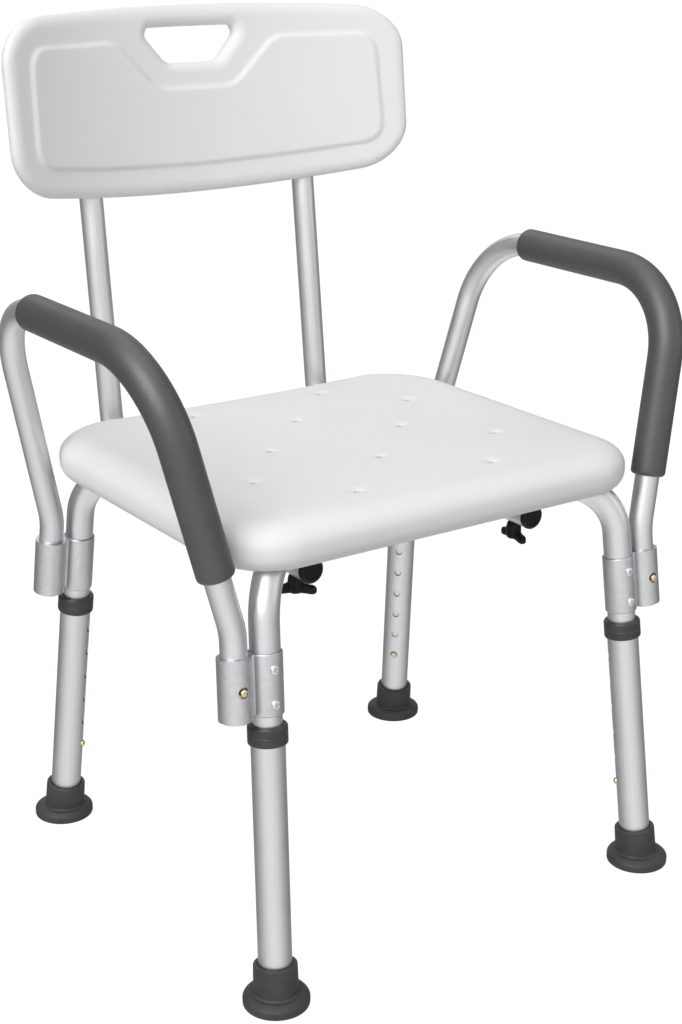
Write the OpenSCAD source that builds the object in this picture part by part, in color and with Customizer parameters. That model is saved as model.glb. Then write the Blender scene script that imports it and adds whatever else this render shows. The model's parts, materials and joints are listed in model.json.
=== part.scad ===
// Height-adjustable shower chair: a moulded seat and back on a crossed tube
// frame, with two padded arms and four telescoping legs.
// Origin on the floor under the middle of the whole chair, front edge towards -Y.

/* [Stance] */
// Distance from the middle plane to a foot, sideways
foot_x = 204; // [190:1:220]
// Distance from the middle plane to a foot, front to back
foot_y = 196; // [185:1:210]
// Where the middle of the four feet lies, front to back: the leaning back puts
// it in front of the chair's own middle
feet_y = -27; // [-30:1:-24]
// Sideways lean of every leg, in degrees
lean_x = 2.7; // [2:0.1:3.5]
// Lean of every leg front to back, in degrees
lean_y = 6.5; // [5:0.1:7]
// Height of the crossed tubes' middle line
cross_z = 366; // [360:1:372]

/* [Leg tubes] */
// Outer diameter of the crossed upper tubes
upper_d = 25.4; // [25:0.1:26]
// Outer diameter of the telescoping lower legs
lower_d = 28.6; // [28.4:0.1:29]
// Wall of every leg tube
leg_wall = 1.2; // [1:0.1:1.5]
// Bend radius where an upper tube turns in under the seat
knee_r = 47; // [42:1:50]
// Distance between height holes
hole_pitch = 25.4; // [24:0.1:26]
// Number of height holes in a lower leg
hole_count = 6; // [4:1:6]
// Distance from the floor to the lowest height hole, along the leg
first_hole = 81.4; // [76:0.1:84]

/* [Seat] */
// Width of the seat
seat_w = 432; // [422:1:438]
// Front to back depth of the seat
seat_d = 373; // [360:1:376]
// How far the seat's middle lies behind the middle of the feet
seat_back_by = 13.5; // [10:0.5:16]
// Top of the seat above the floor
seat_top = 402; // [400:1:404]
// Bottom of the seat's edge above the floor
seat_bottom = 363; // [361:1:366]
// Radius of the seat's front corners seen from above
seat_corner = 60; // [50:1:70]
// Radius of its rear corners
seat_rear_corner = 76; // [60:1:85]

/* [Back] */
// Distance of each back tube from the middle plane
back_x = 119; // [115:1:125]
// Diameter of the back and arm tubes
light_d = 22.2; // [22:0.1:22.6]
// Backward lean of the back, in degrees
back_lean = 6.5; // [5:0.1:8]
// Width of the back panel, straight across
panel_w = 432; // [420:1:440]
// Radius of the panel's hollow front face
panel_r = 480; // [450:5:520]
// Thickness of the panel
panel_t = 20; // [18:1:22]

/* [Arms] */
// Height of the arm rail's middle line
arm_z = 541; // [535:1:550]
// Distance of the arm rail from the middle plane
arm_x = 268; // [260:1:275]
// Bend radius of the arm's upper corners
arm_r = 78; // [70:1:85]
// Outer diameter of the foam grips
grip_d = 31.5; // [30:0.5:34]

/* [Hidden] */
$fn = 64;

// Signs of the four corners: left is -X, front is -Y
FL = [-1, -1];
FR = [1, -1];
RL = [-1, 1];
RR = [1, 1];
CORNERS = [FL, FR, RL, RR];

light_wall = 1.2;
gap = 0.15;                // clearance between pieces of one body
slip = 0.4;                // clearance round everything that slides
bend_thin = 0.06;          // a tube draws down this much where it is bent
bend_lap = 0.25;           // how far a straight runs into its bend

// ---- Vectors and bent tubes ----

function unit(v) = v / norm(v);
function turn(a, b) = acos(a * b);

// Puts its children at p with local Z along w and local X as near xref as can be
module place(p, w, xref = [1, 0, 0]) {
    z = unit(w);
    x = unit(xref - (xref * z) * z);
    y = cross(z, x);
    multmatrix([
        [x[0], y[0], z[0], p[0]],
        [x[1], y[1], z[1], p[1]],
        [x[2], y[2], z[2], p[2]],
        [0, 0, 0, 1]
    ]) children();
}

// A rod of diameter d through the points, with its corners bent to radius r
module bent_rod(pts, r, d) {
    last = len(pts) - 1;
    dirs = [for (i = [0 : last - 1]) unit(pts[i + 1] - pts[i])];
    cuts = [for (i = [0 : last]) (i == 0 || i == last) ? 0 : r[i - 1] * tan(turn(dirs[i - 1], dirs[i]) / 2)];
    for (i = [0 : last - 1]) {
        start = pts[i] + (cuts[i] - (i == 0 ? 0 : bend_lap)) * dirs[i];
        stop = pts[i + 1] - (cuts[i + 1] - (i == last - 1 ? 0 : bend_lap)) * dirs[i];
        place(start, dirs[i]) cylinder(d = d, h = norm(stop - start));
    }
    for (i = [1 : last - 1]) {
        a = dirs[i - 1];
        n = unit(cross(a, dirs[i]));
        m = cross(n, a);
        c = pts[i] - cuts[i] * a + r[i - 1] * m;
        place(c, n, -m) rotate_extrude(angle = turn(a, dirs[i])) translate([r[i - 1], 0]) circle(d = d - bend_thin);
    }
}

// The same as a tube: the bore runs a little past both ends
module bent_tube(pts, r, d, wall) {
    last = len(pts) - 1;
    first_dir = unit(pts[1] - pts[0]);
    last_dir = unit(pts[last] - pts[last - 1]);
    inner = [for (i = [0 : last]) i == 0 ? pts[0] - first_dir : i == last ? pts[last] + last_dir : pts[i]];
    difference() {
        bent_rod(pts, r, d);
        bent_rod(inner, r, d - 2 * wall);
    }
}

// ---- Leg frame ----
// A leg's own frame has Z up its leaning axis and X sideways; distances
// along it start at the floor.

function leg_dir(c) = unit([-c[0] * tan(lean_x), -c[1] * tan(lean_y), 1]);
function leg_side(c) = unit([1, 0, 0] - leg_dir(c)[0] * leg_dir(c));
function leg_point(c, s, off = 0) = [c[0] * foot_x, feet_y + c[1] * foot_y, 0] + s * leg_dir(c) + off * leg_side(c);
function leg_at_z(c, z) = leg_point(c, z / leg_dir(c)[2]);

module on_leg(c, s = 0, off = 0) {
    place(leg_point(c, s, off), leg_dir(c)) children();
}

// Direction of the height holes: along the crossed tube, towards the middle
knee = leg_at_z(RR, cross_z);
cross_angle = atan2(knee[1] - feet_y, knee[0]);
function hole_turn(c) = atan2(-c[1] * sin(cross_angle), -c[0] * cos(cross_angle));

upper_end = 64;            // lowest end of an upper tube, along the leg
lower_top = 240;           // top of a lower leg
collar_low = 226.5;
collar_top = 243;
button_d = 6.4;
button_hole = 7.4;

module hole_cutter(c, s, d, r_from, r_to) {
    on_leg(c, s) rotate([0, 90, hole_turn(c)]) translate([0, 0, r_from]) cylinder(d = d, h = r_to - r_from);
}

module lower_leg(c) {
    color("silver") difference() {
        on_leg(c, 9) difference() {
            cylinder(d = lower_d, h = lower_top - 9);
            translate([0, 0, -1]) cylinder(d = lower_d - 2 * leg_wall, h = lower_top);
        }
        for (i = [0 : hole_count - 1]) hole_cutter(c, first_hole + i * hole_pitch, button_hole, 5, 20);
    }
}

collar_d = 33.4;

module leg_collar(c) {
    color("dimgray") on_leg(c, collar_low) difference() {
        union() {
            cylinder(d = collar_d, h = collar_top - collar_low - 1.5);
            translate([0, 0, collar_top - collar_low - 1.7]) cylinder(d1 = collar_d, d2 = collar_d - 3, h = 1.7);
        }
        translate([0, 0, -1]) cylinder(d = lower_d + 2 * gap, h = lower_top - collar_low + 1 + gap);
        cylinder(d = upper_d + 2 * slip, h = 40);
    }
}

foot_flange = 28.4;
flange_h = 6.6;            // height of the flange's rim
ledge_h = 11.2;            // height where its slope ends in a ledge round the neck
ledge_r = 22.6;
boot_d = 37.6;
boot_top = 35.5;

module foot(c) {
    base = leg_point(c, 0);
    color("dimgray") difference() {
        union() {
            translate([base[0], base[1], 0]) cylinder(r = foot_flange, h = flange_h);
            translate([base[0], base[1], flange_h]) cylinder(r1 = foot_flange, r2 = ledge_r, h = ledge_h - flange_h);
            on_leg(c, 5) cylinder(d = boot_d, h = boot_top - 5 - 1.5);
            on_leg(c, boot_top - 1.7) cylinder(d1 = boot_d, d2 = boot_d - 3, h = 1.7);
        }
        on_leg(c, 6.5) cylinder(d = lower_d + 2 * gap, h = 40);
        // ring grooves of the tread
        for (r = [9, 16, 23])
            translate([base[0], base[1], -1]) difference() {
                cylinder(r = r + 1.2, h = 2.2);
                translate([0, 0, -1]) cylinder(r = r - 1.2, h = 5);
            }
    }
}

module foot_disc(c) {
    color("gray") on_leg(c, 6.7) difference() {
        cylinder(d = lower_d - 1, h = 2);
        translate([0, 0, -1]) cylinder(d = 8, h = 5);
    }
}

button_tip = lower_d / 2 + 2.6;   // how far a leg button stands from the leg's axis

module snap_button(tip, tail) {
    cylinder(d = button_d, h = tip - tail - 1.6);
    translate([0, 0, tip - tail - 1.6]) cylinder(d1 = button_d, d2 = button_d - 2.4, h = 1.6);
    cylinder(d = button_d + 2, h = 1.2);
}

button_tail = upper_d / 2 - leg_wall - 2.4;

module leg_button(c) {
    color("goldenrod") on_leg(c, first_hole) rotate([0, 90, hole_turn(c)])
        translate([0, 0, button_tail]) snap_button(button_tip, button_tail);
}

// A bent strip that pushes a button outwards: a foot on the far wall and an arm
// under the button
module clip_spring(reach, tail) {
    t = 0.7;
    w = 6;
    rise = 34;
    far = reach - 0.6;
    rotate([90, 0, 0]) translate([0, 0, -w / 2]) linear_extrude(w) polygon([
        [tail - 0.1, -8], [tail - 0.1, 8], [tail - 3, 14], [-2, rise], [-far + 1, rise - 3], [-far, rise - 10],
        [-far, -4], [-far + t, -4], [-far + t, rise - 10], [-far + 1.6, rise - 4], [-2.4, rise - 1],
        [tail - 3.6, 13.6], [tail - 0.8, 8], [tail - 0.8, -8]
    ]);
}

module leg_button_springs() {
    color("lightgray") for (c = CORNERS)
        on_leg(c, first_hole) rotate([0, 0, hole_turn(c)]) clip_spring(upper_d / 2 - leg_wall, button_tail);
}

// ---- Crossed upper tubes ----

pinch = 22;                // half length of the flattened middle
lap = 11;                  // thickness of the flattened middle
lap_w = 32;
bolt_d = 6;

module cross_tube(c, side) {
    far = [-c[0], -c[1]];
    k1 = leg_at_z(c, cross_z);
    k2 = leg_at_z(far, cross_z);
    run = unit([k2[0] - k1[0], k2[1] - k1[1], 0]);
    mid = [0, feet_y, cross_z];
    color("silver") difference() {
        union() {
            difference() {
                union() {
                    bent_tube([leg_point(c, upper_end), k1, mid - (pinch + 20) * run], [knee_r], upper_d, leg_wall);
                    bent_tube([leg_point(far, upper_end), k2, mid + (pinch + 20) * run], [knee_r], upper_d, leg_wall);
                }
                for (e = [c, far]) hole_cutter(e, first_hole, button_hole, 5, 20);
            }
            place(mid, run, [0, 0, 1]) {
                for (m = [0, 1]) mirror([0, 0, m]) hull() {
                    translate([0, 0, pinch + 18]) cylinder(d = upper_d - leg_wall, h = 4);
                    translate([side * lap / 2, 0, pinch]) cube([lap, lap_w, 1], center = true);
                }
                translate([side * (lap / 2 + 0.1), 0, 0]) cube([lap - 0.2, lap_w, 2 * pinch + 1], center = true);
            }
        }
        translate(mid - [0, 0, 20]) cylinder(d = bolt_d + 0.6, h = 40);
        for (e = [c, far]) at_stud(e, cross_z - 20) cylinder(d = stud_hole, h = 40);
    }
}

module cross_bolt() {
    color("lightgray") translate([0, feet_y, cross_z]) {
        translate([0, 0, lap + 0.1]) cylinder(d = 13, h = 1.2);
        translate([0, 0, lap + 1.3]) cylinder(d = 11, h = 3.4, $fn = 6);
        translate([0, 0, -lap - 9]) cylinder(d = bolt_d, h = 2 * lap + 9.1);
    }
}

module cross_nut() {
    color("lightgray") translate([0, feet_y, cross_z]) difference() {
        union() {
            translate([0, 0, -lap - 1.3]) cylinder(d = 13, h = 1.2);
            translate([0, 0, -lap - 6.8]) cylinder(d = 11.4, h = 5.5, $fn = 6);
        }
        translate([0, 0, -40]) cylinder(d = bolt_d + 2 * gap, h = 40);
    }
}

// ---- Knobs that clamp seat, crossed tubes and back tubes ----

saddle_t = 1;
back_z = cross_z - upper_d / 2 - saddle_t - light_d / 2;
stud_d = 6;
stud_hole = 7.2;
stud_top = cross_z + upper_d / 2 + 14;
insert_d = 12;
insert_h = 15;
mount_z = cross_z + upper_d / 2 + 0.3;   // where the seat rests on the crossed tubes
knob_top = back_z - light_d / 2 - 0.4;

function stud_xy(c) = [c[0] * back_x, feet_y + c[1] * back_x * tan(cross_angle)];

module at_stud(c, z) {
    translate([stud_xy(c)[0], stud_xy(c)[1], z]) children();
}

module seat_insert(c) {
    at_stud(c, mount_z) difference() {
        union() {
            cylinder(d = insert_d - 2 * gap, h = insert_h);
            cylinder(d = insert_d + 4, h = 1.4);
        }
        translate([0, 0, -1]) cylinder(d = stud_d + 0.16, h = insert_h + 2);
    }
}

module seat_inserts() {
    color("goldenrod") for (c = CORNERS) seat_insert(c);
}

// A saddle keeps a back tube and a crossed tube from rubbing where they cross
module saddle(c) {
    color("dimgray") difference() {
        at_stud(c, cross_z - upper_d / 2 - 2.6) cylinder(d = 24, h = 5);
        translate([0, feet_y, cross_z]) rotate([0, 90, atan2(stud_xy(c)[1] - feet_y, stud_xy(c)[0])])
            cylinder(d = upper_d + 2 * gap, h = 400);
        translate([stud_xy(c)[0], -250, back_z]) rotate([-90, 0, 0]) cylinder(d = light_d + 2 * gap, h = 500);
        at_stud(c, 300) cylinder(d = stud_hole, h = 100);
    }
}

module tube_saddles() {
    for (c = CORNERS) saddle(c);
}

module knob_stud(c) {
    color("lightgray") at_stud(c, knob_top - 14) cylinder(d = stud_d, h = stud_top - knob_top + 14);
}

wing_reach = 18;
wing_drop = 18.5;
wing_h = 10;               // height of a wing's rounded end
hub_d = 14;

// How far each knob has been turned, left as tightened by hand
function knob_turn(c) = c == FL ? -35 : c == FR ? 83 : c == RL ? 20 : -40;

module knob(c) {
    color("black") at_stud(c, knob_top) rotate([0, 0, knob_turn(c)]) difference() {
        union() {
            translate([0, 0, -9]) cylinder(d = hub_d, h = 9);
            for (m = [0, 1]) mirror([m, 0, 0]) hull() {
                translate([0, 0, -11.5]) rotate([90, 0, 0]) cylinder(d = wing_h, h = 8, center = true, $fn = 32);
                translate([wing_reach - wing_h / 2, 0, wing_h / 2 - wing_drop]) rotate([90, 0, 0])
                    cylinder(d = wing_h, h = 7, center = true, $fn = 32);
            }
        }
        translate([0, 0, -14 - gap]) cylinder(d = stud_d + 2 * gap, h = 30);
    }
}

// ---- Brackets that join arms and legs ----

bracket_low = 252;
bracket_top = 304;
bracket_d = 28.6;
arm_off = 29;              // between the axes of the two sleeves
rivet_s = [262, 291];
rivet_head_d = 8.4;
arm_button_s = 277.5;
sleeve_hole = 9.4;         // the button sits loose in the bracket's hole

module bracket(c) {
    h = bracket_top - bracket_low;
    color("silver") on_leg(c, bracket_low) difference() {
        union() {
            cylinder(d = bracket_d, h = h);
            translate([c[0] * arm_off, 0, 0]) cylinder(d = bracket_d, h = h);
            translate([c[0] * arm_off / 2, 0, h / 2]) cube([arm_off, 12, h], center = true);
        }
        translate([0, 0, -1]) cylinder(d = upper_d + 2 * gap, h = h + 2);
        translate([c[0] * arm_off, 0, -1]) cylinder(d = light_d + 2 * gap, h = h + 2);
        translate([c[0] * arm_off, 0, arm_button_s - bracket_low]) rotate([-c[1] * 90, 0, 0]) cylinder(d = sleeve_hole, h = 30);
        for (s = rivet_s) translate([0, 0, s - bracket_low]) rotate([-c[1] * 90, 0, 0]) cylinder(d = 4.2, h = 30);
    }
}

module bracket_rivets() {
    color("gainsboro") for (c = CORNERS) for (s = rivet_s)
        on_leg(c, s) rotate([-c[1] * 90, 0, 0]) {
            translate([0, 0, upper_d / 2 + 0.3]) cylinder(d = 4, h = 2.2);
            translate([0, 0, bracket_d / 2 + 0.1]) cylinder(d1 = rivet_head_d, d2 = rivet_head_d - 3.4, h = 1.6);
        }
}

// ---- Arms ----

arm_low_z = 322;           // where an arm leaves its sleeves and bends outwards
arm_corner_y = 135;
arm_elbow_r = 70;
arm_s_low = 250;

function arm_foot(c) = leg_point(c, arm_s_low, c[0] * arm_off);
function arm_neck(c) = leg_point(c, arm_low_z / leg_dir(c)[2], c[0] * arm_off);
function arm_corner(c) = [c[0] * arm_x, feet_y + c[1] * arm_corner_y, arm_z];
function arm_points(g) = [arm_foot([g, -1]), arm_neck([g, -1]), arm_corner([g, -1]), arm_corner([g, 1]), arm_neck([g, 1]), arm_foot([g, 1])];

module arm_tube(g) {
    color("silver") difference() {
        bent_tube(arm_points(g), [arm_elbow_r, arm_r, arm_r, arm_elbow_r], light_d, light_wall);
        for (c = [[g, -1], [g, 1]]) on_leg(c, arm_button_s, g * arm_off) rotate([-c[1] * 90, 0, 0])
            cylinder(d = button_hole, h = 20);
    }
}

grip_rear_y = 71;
grip_end_z = 369;

module arm_grip(g) {
    neck = arm_neck([g, -1]);
    top = arm_corner([g, -1]);
    t = (grip_end_z - neck[2]) / (top[2] - neck[2]);
    path = [neck + t * (top - neck), top, [g * arm_x, feet_y + grip_rear_y, arm_z]];
    color("dimgray") bent_tube(path, [arm_r], grip_d, (grip_d - light_d) / 2 - gap);
}

arm_button_tip = bracket_d / 2 + 2.2;
arm_button_tail = light_d / 2 - light_wall - 2.4;

module arm_button(c) {
    color("goldenrod") on_leg(c, arm_button_s, c[0] * arm_off) rotate([-c[1] * 90, 0, 0])
        translate([0, 0, arm_button_tail]) snap_button(arm_button_tip, arm_button_tail);
}

module arm_button_springs() {
    color("lightgray") for (c = CORNERS)
        on_leg(c, arm_button_s, c[0] * arm_off) rotate([0, 0, c[1] * 90])
            clip_spring(light_d / 2 - light_wall, arm_button_tail);
}

// ---- Back ----

back_front_y = feet_y - 120;   // front end of a back tube
back_heel_y = feet_y + 219;    // where its two straight lines meet
back_heel_r = 60;
back_top_z = 712;

function back_point(z) = [0, back_heel_y + (z - back_z) * tan(back_lean), z];

module back_tube(g) {
    side = [g * back_x, 0, 0];
    color("silver") difference() {
        bent_tube([side + [0, back_front_y, back_z], side + [0, back_heel_y, back_z], side + back_point(back_top_z)],
            [back_heel_r], light_d, light_wall);
        for (c = [[g, -1], [g, 1]]) at_stud(c, back_z - 20) cylinder(d = stud_hole, h = 40);
        for (z = panel_screw_z) in_panel() translate([g * back_x, panel_tube_y, z]) rotate([-90, 0, 0])
            cylinder(d = 5.6, h = 20);
    }
}

module back_tube_plugs() {
    color("black") for (g = [-1, 1]) translate([g * back_x, back_front_y, back_z]) rotate([90, 0, 0]) {
        translate([0, 0, 0.1]) cylinder(d = light_d + 1, h = 3);
        translate([0, 0, 3.1]) cylinder(d1 = light_d + 1, d2 = light_d - 3, h = 1.5);
        translate([0, 0, -14]) cylinder(d = light_d - 2 * light_wall - 2 * gap, h = 14.2);
    }
}

// The panel's own frame: origin in the middle of its front face, Z up its lean
panel_mid_z = 682;
panel_mid = [0, feet_y + 249, panel_mid_z];
panel_h = 176;
panel_corner = 45;
panel_top_r = 2000;        // crown of the upper edge
panel_low_r = 1720;        // rise of the lower edge towards the sides
rim_bevel = 4;
border_drop = 2.5;         // how far the border lies behind the raised field
panel_tube_y = (back_point(panel_mid_z)[1] - panel_mid[1]) * cos(back_lean);
panel_screw_z = [-52, 12];
boss_d = 31;
boss_low = -76;
boss_high = 42;

module in_panel() {
    translate(panel_mid) rotate([-back_lean, 0, 0]) children();
}

// Outline of the panel from the front: a crowned upper edge, a lower edge that
// rises towards the sides, and round corners that run smoothly into both
module panel_outline(inset) {
    x = panel_w / 2 - panel_corner;
    top_mid = panel_h / 2 - panel_top_r;
    low_mid = panel_low_r - panel_h / 2;
    corner_top = top_mid + sqrt(pow(panel_top_r - panel_corner, 2) - x * x);
    corner_low = low_mid - sqrt(pow(panel_low_r - panel_corner, 2) - x * x);
    spread = 1 + 2 * panel_corner / panel_low_r;
    w = panel_w / 2 - inset;
    translate([-w, corner_low]) square([2 * w, corner_top - corner_low]);
    for (m = [-1, 1]) {
        translate([m * x, corner_top]) circle(panel_corner - inset);
        translate([m * x, corner_low]) circle(panel_corner - inset);
    }
    intersection() {
        polygon([
            [x, corner_low], [x, corner_top], [x * spread, top_mid + (corner_top - top_mid) * spread],
            [-x * spread, top_mid + (corner_top - top_mid) * spread], [-x, corner_top], [-x, corner_low],
            [-x * spread, low_mid + (corner_low - low_mid) * spread], [x * spread, low_mid + (corner_low - low_mid) * spread]
        ]);
        translate([0, top_mid]) circle(panel_top_r - inset, $fn = 720);
        translate([0, low_mid]) circle(panel_low_r - inset, $fn = 720);
    }
}

module grip_hole_2d() {
    polygon([[-47, 68], [47, 68], [50, 60], [28, 34.5], [-28, 34.5], [-50, 60]]);
}

// The part of a shell between two radii about the upright axis of the panel's curve
module panel_shell(r_in, r_out) {
    translate([0, -panel_r, -200]) difference() {
        cylinder(r = r_out, h = 400, $fn = 360);
        translate([0, 0, -1]) cylinder(r = r_in, h = 402, $fn = 360);
    }
}

module from_front(depth = 300) {
    rotate([90, 0, 0]) translate([0, 0, -depth / 2]) linear_extrude(depth) children();
}

// The raised field, which dips below the hand hole
module field_2d() {
    polygon([
        [-186, 44], [-174, 54], [-86, 54], [-44, 11.5], [44, 11.5], [86, 54], [174, 54], [186, 44],
        [190, -34], [180, -49], [100, -58], [0, -61], [-100, -58], [-180, -49], [-190, -34]
    ]);
}

module back_panel() {
    color("white") in_panel() difference() {
        union() {
            intersection() {
                panel_shell(panel_r + rim_bevel, panel_r + panel_t - rim_bevel);
                from_front() panel_outline(0);
            }
            intersection() {
                panel_shell(panel_r, panel_r + panel_t);
                from_front() panel_outline(rim_bevel);
            }
            for (g = [-1, 1]) translate([g * back_x, panel_tube_y, boss_low])
                cylinder(d = boss_d, h = boss_high - boss_low);
        }
        intersection() {
            panel_shell(panel_r - 60, panel_r + border_drop);
            from_front() difference() {
                square([2 * panel_w, 2 * panel_h], center = true);
                field_2d();
            }
        }
        // keeps the bosses from standing out of the front face
        translate([0, -panel_r, -200]) cylinder(r = panel_r, h = 400, $fn = 360);
        from_front() grip_hole_2d();
        for (g = [-1, 1]) translate([g * back_x, panel_tube_y, -120]) cylinder(d = light_d + 2 * gap, h = 120 + boss_high - 6);
        for (g = [-1, 1], z = panel_screw_z) translate([g * back_x, panel_tube_y, z]) rotate([-90, 0, 0])
            cylinder(d = 5.6, h = 40);
    }
}

module back_panel_screws() {
    color("lightgray") in_panel() for (g = [-1, 1], z = panel_screw_z)
        translate([g * back_x, panel_tube_y, z]) rotate([-90, 0, 0]) {
            translate([0, 0, 4]) cylinder(d = 5, h = boss_d / 2 - 3.8);
            translate([0, 0, boss_d / 2 + 0.2]) cylinder(d1 = 10, d2 = 7, h = 2.6);
        }
}

// ---- Seat ----

seat_y = feet_y + seat_back_by;
seat_wall = 3.5;
edge_top_r = 15;
edge_low_r = 11;
drain_d = 5.6;
drain_row = 67;             // between rows of drain holes
drain_near = 72;            // sideways place of the holes in a row of two
drain_far = 131;            // and of the outer ones in a row of three
waist = 11;                // how far the back edge curves in

// Cross-section of a rounded corner post: a flat disc with round rims
module puck(r, z0, z1, top_r, low_r) {
    steps = 6;
    rotate_extrude($fn = 48) polygon(concat(
        [[0, z0]],
        [for (i = [0 : steps]) [r - low_r + low_r * sin(90 * i / steps), z0 + low_r - low_r * cos(90 * i / steps)]],
        [for (i = [0 : steps]) [r - top_r + top_r * cos(90 * i / steps), z1 - top_r + top_r * sin(90 * i / steps)]],
        [[0, z1]]
    ));
}

module seat_block(inset) {
    hull() for (x = [-1, 1], y = [-1, 1]) {
        r = y < 0 ? seat_corner : seat_rear_corner;
        translate([x * (seat_w / 2 - r), seat_y + y * (seat_d / 2 - r), 0])
            puck(r - inset, seat_bottom + inset, seat_top - inset, edge_top_r - inset, edge_low_r - inset);
    }
}

module waist_cutter(grow) {
    r = 1100;
    translate([0, seat_y + seat_d / 2 - waist + r - grow, seat_bottom - 10]) cylinder(r = r, h = 100, $fn = 360);
}

centre_room_d = 100;       // clears the flattened middles of the crossed tubes

// Room under the seat for the crossed tubes and the head of their bolt
module tube_channels(grow) {
    for (c = CORNERS) bent_rod([leg_point(c, 300), leg_at_z(c, cross_z), [0, feet_y, cross_z]], [knee_r], upper_d + 0.6 + 2 * grow);
    translate([0, feet_y, seat_bottom - 20]) cylinder(d = centre_room_d + 2 * grow, h = cross_z + upper_d / 2 + 6.5 - seat_bottom + 20 + grow);
}

module drain_holes(d) {
    for (row = [-2 : 2]) for (x = (row % 2 == 0) ? [-drain_near, drain_near] : [-drain_far, 0, drain_far])
        translate([x, seat_y + row * drain_row, seat_bottom - 1]) cylinder(d = d, h = 60);
}

module seat() {
    color("white") difference() {
        seat_block(0);
        waist_cutter(0);
        tube_channels(0);
        drain_holes(drain_d);
        for (c = CORNERS) {
            at_stud(c, mount_z - 1) cylinder(d = insert_d, h = insert_h + 1.4);
            at_stud(c, mount_z - 1) cylinder(d = insert_d + 4.6, h = 2.6);
        }
        difference() {
            seat_block(seat_wall);
            waist_cutter(seat_wall);
            tube_channels(seat_wall);
            drain_holes(drain_d + 2 * seat_wall);
            for (c = CORNERS) at_stud(c, mount_z - 1) cylinder(d = insert_d + 10, h = 60);
        }
    }
}

seat();
seat_inserts();
back_panel();
back_panel_screws();
cross_tube(FL, 1);  // cross_tube_a
cross_tube(FR, -1);  // cross_tube_b
cross_bolt();
cross_nut();
tube_saddles();
bracket(FL);  // bracket_fl
bracket(FR);  // bracket_fr
bracket(RL);  // bracket_rl
bracket(RR);  // bracket_rr
bracket_rivets();
lower_leg(FL);  // lower_leg_fl
lower_leg(FR);  // lower_leg_fr
lower_leg(RL);  // lower_leg_rl
lower_leg(RR);  // lower_leg_rr
leg_collar(FL);  // leg_collar_fl
leg_collar(FR);  // leg_collar_fr
leg_collar(RL);  // leg_collar_rl
leg_collar(RR);  // leg_collar_rr
foot(FL);  // foot_fl
foot(FR);  // foot_fr
foot(RL);  // foot_rl
foot(RR);  // foot_rr
foot_disc(FL);  // foot_disc_fl
foot_disc(FR);  // foot_disc_fr
foot_disc(RL);  // foot_disc_rl
foot_disc(RR);  // foot_disc_rr
leg_button(FL);  // leg_button_fl
leg_button(FR);  // leg_button_fr
leg_button(RL);  // leg_button_rl
leg_button(RR);  // leg_button_rr
leg_button_springs();
arm_tube(-1);  // arm_tube_l
arm_tube(1);  // arm_tube_r
arm_grip(-1);  // arm_grip_l
arm_grip(1);  // arm_grip_r
arm_button(FL);  // arm_button_fl
arm_button(FR);  // arm_button_fr
arm_button(RL);  // arm_button_rl
arm_button(RR);  // arm_button_rr
arm_button_springs();
back_tube(-1);  // back_tube_l
back_tube(1);  // back_tube_r
back_tube_plugs();
knob(FL);  // knob_fl
knob(FR);  // knob_fr
knob(RL);  // knob_rl
knob(RR);  // knob_rr
knob_stud(FL);  // knob_stud_fl
knob_stud(FR);  // knob_stud_fr
knob_stud(RL);  // knob_stud_rl
knob_stud(RR);  // knob_stud_rr
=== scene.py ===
import json
import math

import bpy
import numpy as np
from mathutils import Matrix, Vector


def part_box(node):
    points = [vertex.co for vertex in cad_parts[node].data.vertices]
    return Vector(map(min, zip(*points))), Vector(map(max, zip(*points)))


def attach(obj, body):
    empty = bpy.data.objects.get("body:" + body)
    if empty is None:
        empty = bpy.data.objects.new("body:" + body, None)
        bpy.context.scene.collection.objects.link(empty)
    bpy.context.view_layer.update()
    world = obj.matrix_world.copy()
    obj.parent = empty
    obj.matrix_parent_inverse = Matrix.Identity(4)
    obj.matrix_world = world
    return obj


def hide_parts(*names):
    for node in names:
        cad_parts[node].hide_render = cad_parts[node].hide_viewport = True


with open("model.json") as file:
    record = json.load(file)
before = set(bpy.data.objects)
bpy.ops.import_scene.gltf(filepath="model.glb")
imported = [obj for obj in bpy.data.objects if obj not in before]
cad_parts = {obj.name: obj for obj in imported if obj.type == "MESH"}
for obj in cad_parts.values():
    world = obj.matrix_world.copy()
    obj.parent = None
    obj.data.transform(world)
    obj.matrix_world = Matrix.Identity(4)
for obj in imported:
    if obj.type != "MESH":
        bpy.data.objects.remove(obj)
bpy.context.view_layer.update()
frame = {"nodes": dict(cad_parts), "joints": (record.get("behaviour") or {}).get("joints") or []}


# ---- Studio ----
# A white floor in a white room, lit by one broad soft lamp high on the left and
# three weak ones. What metal mirrors of the room is greyer at both sides.

scene = bpy.context.scene
scene.view_settings.view_transform = "Standard"

lens = bpy.data.cameras.new("lens")
lens.sensor_fit = "VERTICAL"
lens.sensor_height = 36
lens.lens = 62.37
lens.shift_x = 0.0011
camera = bpy.data.objects.new("camera", lens)
camera.matrix_world = (
    Matrix.Translation((-0.8786, -1.2840, 0.8704))
    @ Matrix.Rotation(math.radians(-34.78), 4, "Z")
    @ Matrix.Rotation(math.radians(70.71), 4, "X")
    @ Matrix.Rotation(math.radians(0.21), 4, "Z")
)
scene.collection.objects.link(camera)
scene.camera = camera


def reckon(tree, operation, value, second=0.5):
    """A sum on a socket's value and a second one, which is a number or another socket."""
    node = tree.nodes.new("ShaderNodeMath")
    node.operation = operation
    tree.links.new(value, node.inputs[0])
    if isinstance(second, float):
        node.inputs[1].default_value = second
    else:
        tree.links.new(second, node.inputs[1])
    return node.outputs[0]


def blend(tree, share, one, other):
    """A shader that is one where share is nothing and the other where it is one."""
    mix = tree.nodes.new("ShaderNodeMixShader")
    for source, socket in zip((share, one, other), mix.inputs):
        tree.links.new(source, socket)
    return mix.outputs[0]


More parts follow.
